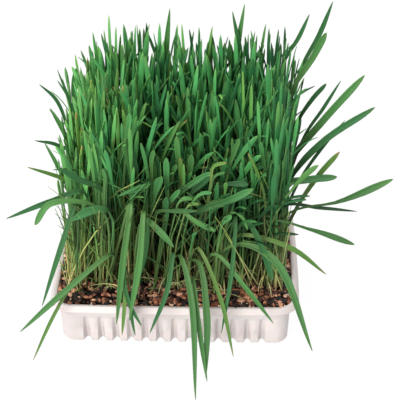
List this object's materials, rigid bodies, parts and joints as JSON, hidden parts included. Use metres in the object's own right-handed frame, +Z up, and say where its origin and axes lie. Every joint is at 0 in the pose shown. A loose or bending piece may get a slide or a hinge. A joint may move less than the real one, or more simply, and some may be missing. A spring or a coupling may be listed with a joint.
{
  "type": "wheatgrass tray",
  "caption": "Dense stand of young wheatgrass growing from a coarse bark medium in a shallow white moulded tray with fluted walls and a flat rim.",
  "frame": {"origin": "centre of the tray's flat foot, on the surface that it stands on", "axes": "+Z up, +X along the tray's long side to the right seen from the front, +Y to the back"},
  "size_m": [0.28, 0.2093, 0.239],
  "materials": {
    "tray_plastic": "thin moulded white plastic, warm white, soft matte sheen",
    "bark_medium": "coarse damp bark and grit, near-black brown with orange-brown and pinkish grains",
    "grass_leaf": "fresh grass leaf, mid to deep green with fine lengthwise veins, pale straw-green stems"
  },
  "bodies": {
    "root": {"tray": "tray_plastic", "growing_medium": "bark_medium", "grass_tuft_01": "grass_leaf", "grass_tuft_02": "grass_leaf", "grass_tuft_03": "grass_leaf", "grass_tuft_04": "grass_leaf", "grass_tuft_05": "grass_leaf", "grass_tuft_06": "grass_leaf", "grass_tuft_07": "grass_leaf", "grass_tuft_08": "grass_leaf", "grass_tuft_09": "grass_leaf", "grass_tuft_10": "grass_leaf", "grass_tuft_11": "grass_leaf", "grass_tuft_12": "grass_leaf", "grass_tuft_13": "grass_leaf", "grass_tuft_14": "grass_leaf", "grass_tuft_15": "grass_leaf", "grass_tuft_16": "grass_leaf", "grass_tuft_17": "grass_leaf", "grass_tuft_18": "grass_leaf", "grass_tuft_19": "grass_leaf", "grass_tuft_20": "grass_leaf", "grass_tuft_21": "grass_leaf", "grass_tuft_22": "grass_leaf", "grass_tuft_23": "grass_leaf", "grass_tuft_24": "grass_leaf", "grass_tuft_25": "grass_leaf", "grass_tuft_26": "grass_leaf", "grass_tuft_27": "grass_leaf", "grass_tuft_28": "grass_leaf", "grass_tuft_29": "grass_leaf", "grass_tuft_30": "grass_leaf", "grass_tuft_31": "grass_leaf", "grass_tuft_32": "grass_leaf", "grass_tuft_33": "grass_leaf", "grass_tuft_34": "grass_leaf", "grass_tuft_35": "grass_leaf", "grass_tuft_36": "grass_leaf", "grass_tuft_37": "grass_leaf", "grass_tuft_38": "grass_leaf", "grass_tuft_39": "grass_leaf", "grass_tuft_40": "grass_leaf"}
  },
  "joints": []
}
